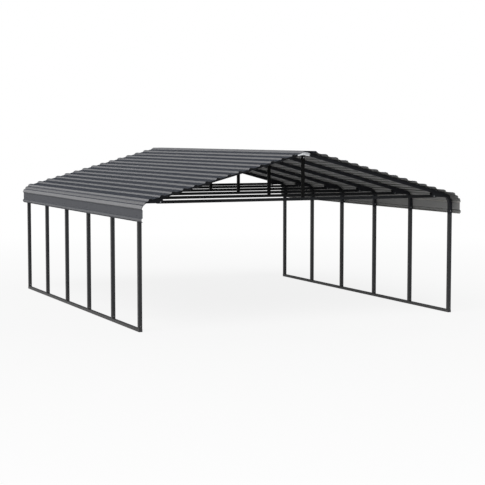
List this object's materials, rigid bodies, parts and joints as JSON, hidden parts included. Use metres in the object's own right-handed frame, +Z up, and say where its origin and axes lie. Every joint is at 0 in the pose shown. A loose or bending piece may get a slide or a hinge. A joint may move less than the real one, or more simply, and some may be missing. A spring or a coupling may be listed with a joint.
{
  "type": "steel carport",
  "caption": "Open double carport: bent square-tube frames with tie beams and king posts on base rails under a low gable roof of ribbed sheet rolled over the eaves.",
  "frame": {"origin": "on the ground, midway between the two rows of legs and midway along the ridge", "axes": "+Z up, +Y along the ridge towards the back, +X across the carport to the right"},
  "size_m": [6.1196, 7.36, 2.965],
  "materials": {
    "frame_paint": "satin powder coat, charcoal",
    "roof_paint": "low gloss coil coat, charcoal",
    "galvanised_steel": "bare hot-dip zinc"
  },
  "bodies": {
    "root": {"leg_left_1": "frame_paint", "rafter_left_1": "frame_paint", "leg_right_1": "frame_paint", "rafter_right_1": "frame_paint", "tie_beam_1": "frame_paint", "leg_left_2": "frame_paint", "rafter_left_2": "frame_paint", "leg_right_2": "frame_paint", "rafter_right_2": "frame_paint", "tie_beam_2": "frame_paint", "leg_left_3": "frame_paint", "rafter_left_3": "frame_paint", "leg_right_3": "frame_paint", "rafter_right_3": "frame_paint", "tie_beam_3": "frame_paint", "leg_left_4": "frame_paint", "rafter_left_4": "frame_paint", "leg_right_4": "frame_paint", "rafter_right_4": "frame_paint", "tie_beam_4": "frame_paint", "leg_left_5": "frame_paint", "rafter_left_5": "frame_paint", "leg_right_5": "frame_paint", "rafter_right_5": "frame_paint", "tie_beam_5": "frame_paint", "leg_left_6": "frame_paint", "rafter_left_6": "frame_paint", "leg_right_6": "frame_paint", "rafter_right_6": "frame_paint", "tie_beam_6": "frame_paint", "eave_bends_left": "frame_paint", "base_rail_left": "frame_paint", "roof_sheet_left_upper": "roof_paint", "roof_sheet_left_middle": "roof_paint", "roof_sheet_left_eave": "roof_paint", "eave_bends_right": "frame_paint", "base_rail_right": "frame_paint", "roof_sheet_right_upper": "roof_paint", "roof_sheet_right_middle": "roof_paint", "roof_sheet_right_eave": "roof_paint", "ridge_cap": "roof_paint", "king_posts": "frame_paint", "peak_couplers": "galvanised_steel", "corner_gussets": "frame_paint"}
  },
  "joints": []
}
